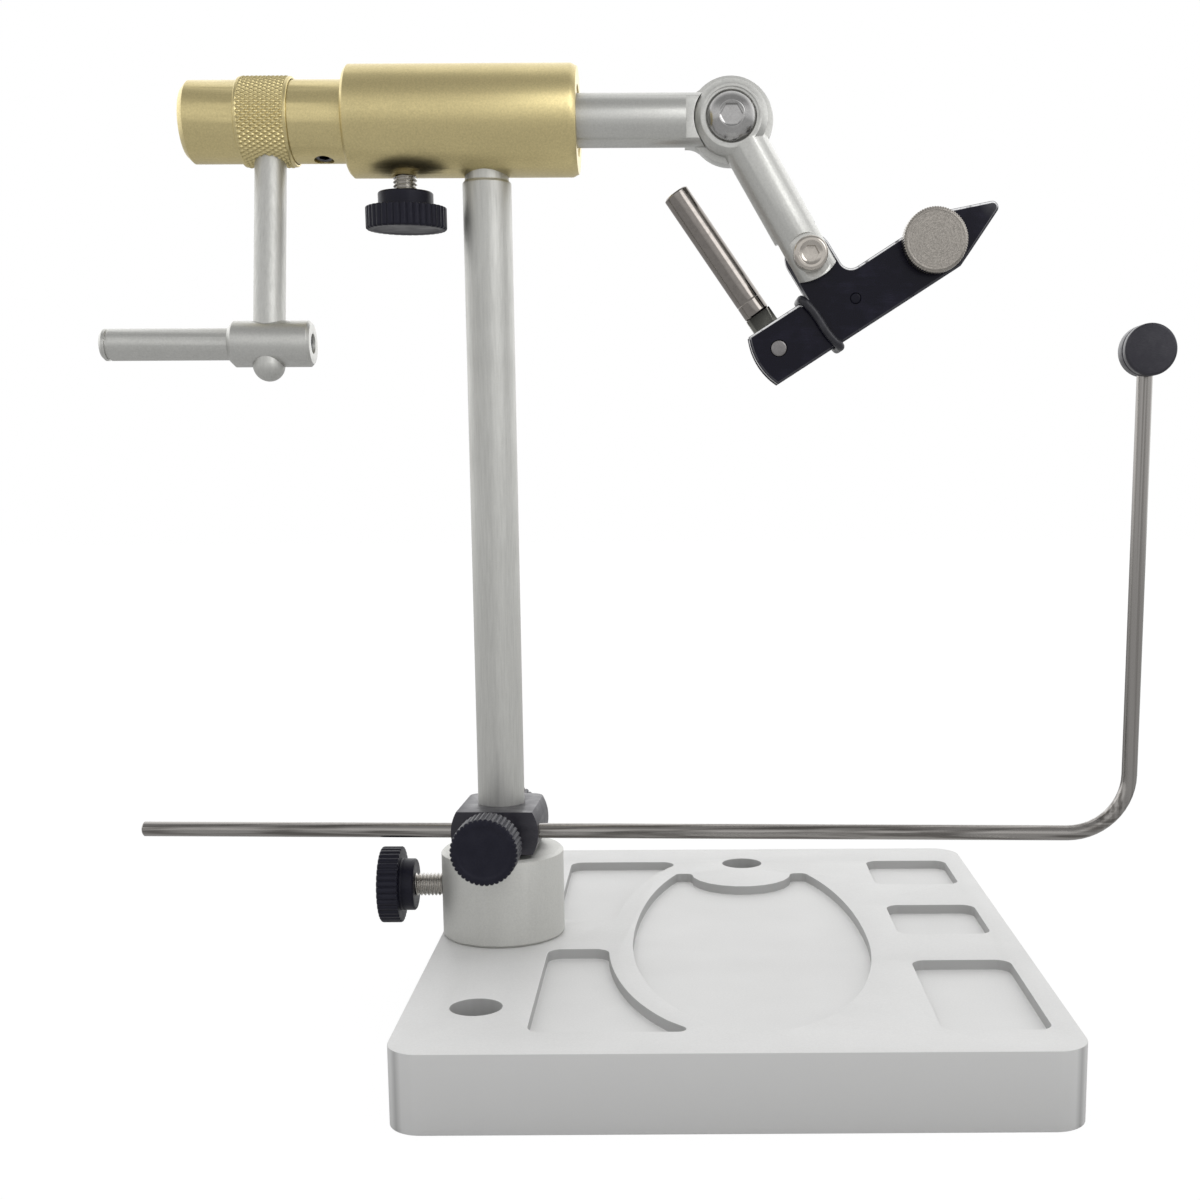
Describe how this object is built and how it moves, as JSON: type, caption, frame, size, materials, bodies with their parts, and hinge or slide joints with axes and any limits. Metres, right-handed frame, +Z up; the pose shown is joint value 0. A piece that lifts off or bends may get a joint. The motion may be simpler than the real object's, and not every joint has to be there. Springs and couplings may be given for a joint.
{
  "type": "fly tying vise",
  "caption": "Rotary fly tying vise on a heavy base plate with tray pockets, with cam jaws on a hinged arm, a crank and a bent rod that holds the thread.",
  "frame": {"origin": "middle of the base plate's underside, on the table", "axes": "+X to the right, towards the jaws; +Y away from the person who ties; +Z up"},
  "size_m": [0.2154, 0.15, 0.1968],
  "materials": {
    "base": "satin silver",
    "turned_steel": "satin silver",
    "gold": "satin gold",
    "bush": "plain",
    "knob": "moulded black",
    "stud": "threaded",
    "rod": "polished",
    "black_block": "black, satin",
    "black_steel": "blackened",
    "screw": "machined",
    "dark_screw": "blackened",
    "pad": "plain",
    "rubber": "plain"
  },
  "bodies": {
    "base": {"base_plate": "base", "base_screw": "dark_screw", "post_holder": "turned_steel"},
    "holder_screw": {"holder_knob": "knob", "holder_stud": "stud"},
    "post_and_barrel": {"post": "turned_steel", "barrel": "gold", "front_bush": "bush", "rear_bush": "bush", "brake_pad": "pad"},
    "clamp": {"clamp_block": "black_block"},
    "front_clamp_screw": {"front_clamp_knob": "knob", "front_clamp_stud": "stud"},
    "rear_clamp_screw": {"rear_clamp_knob": "knob", "rear_clamp_stud": "stud"},
    "thread_rest": {"rest_rod": "rod", "thread_disc_back": "black_block", "thread_disc_front": "black_block", "thread_disc_rivet": "stud"},
    "brake_screw": {"brake_knob": "knob", "brake_stud": "stud"},
    "rotary_shaft": {"shaft": "turned_steel", "rear_hub": "gold", "hub_grub": "dark_screw", "crank_arm": "turned_steel", "crank_handle": "turned_steel", "handle_grub": "dark_screw", "elbow_screw": "screw"},
    "jaw_arm": {"arm": "turned_steel"},
    "jaws": {"fixed_jaw": "black_steel", "cam_pin": "screw", "guide_pin": "dark_screw", "jaw_ring": "rubber", "tilt_screw": "screw"},
    "moving_jaw": {"moving_jaw": "black_steel"},
    "lever": {"cam_lever": "turned_steel"},
    "adjuster": {"adjusting_screw": "turned_steel"}
  },
  "joints": [
    {"name": "holder_screw_turn", "type": "hinge", "parent": "base", "child": "holder_screw", "pos_m": [-0.06225, 0, 0.02583], "axis": [-1, 0, 0], "range_deg": [0, 360]},
    {"name": "post_swivel", "type": "hinge", "parent": "base", "child": "post_and_barrel", "pos_m": [-0.049, 0, 0.034], "axis": [0, 0, 1], "range_deg": [-45, 45]},
    {"name": "clamp_slide", "type": "slide", "parent": "post_and_barrel", "child": "clamp", "axis": [0, 0, 1], "range_m": [0, 0.08]},
    {"name": "front_clamp_screw_turn", "type": "hinge", "parent": "clamp", "child": "front_clamp_screw", "pos_m": [-0.049, 0, 0.0388], "axis": [-0.0436, -0.999, 0], "range_deg": [0, 360]},
    {"name": "rear_clamp_screw_turn", "type": "hinge", "parent": "clamp", "child": "rear_clamp_screw", "pos_m": [-0.049, 0, 0.0388], "axis": [0.0436, 0.999, 0], "range_deg": [0, 360]},
    {"name": "thread_rest_swing", "type": "hinge", "parent": "clamp", "child": "thread_rest", "pos_m": [-0.04932, -0.00739, 0.0395], "axis": [0.999, -0.0436, 0], "range_deg": [-90, 90]},
    {"name": "brake_screw_turn", "type": "hinge", "parent": "post_and_barrel", "child": "brake_screw", "pos_m": [-0.06575, 0, 0.172], "axis": [0, 0, -1], "range_deg": [0, 360]},
    {"name": "rotary_turn", "type": "hinge", "parent": "post_and_barrel", "child": "rotary_shaft", "pos_m": [0, 0, 0.1858], "axis": [1, 0, 0], "continuous": true},
    {"name": "elbow_swing", "type": "hinge", "parent": "rotary_shaft", "child": "jaw_arm", "pos_m": [0.001, 0, 0.1858], "axis": [0, -1, 0], "range_deg": [-12, 60]},
    {"name": "jaw_tilt", "type": "hinge", "parent": "jaw_arm", "child": "jaws", "pos_m": [0.01699, 0, 0.15859], "axis": [0, -1, 0], "range_deg": [-10, 40]},
    {"name": "lever_turn", "type": "hinge", "parent": "jaws", "child": "lever", "pos_m": [0.0109, 0.0019, 0.14015], "axis": [0, -1, 0], "range_deg": [0, 60]},
    {"name": "jaw_rock", "type": "hinge", "parent": "jaws", "child": "moving_jaw", "pos_m": [0.04302, 0.0043, 0.16046], "axis": [-0.5344, 0, 0.8453], "range_deg": [0, 1.05]},
    {"name": "adjusting_turn", "type": "hinge", "parent": "jaws", "child": "adjuster", "pos_m": [0.04249, 0, 0.1613], "axis": [0, -1, 0], "range_deg": [-180, 180]}
  ],
  "couplings": [
    {"joint": "jaw_rock", "follows": "lever_turn", "ratio": 0.01724}
  ]
}
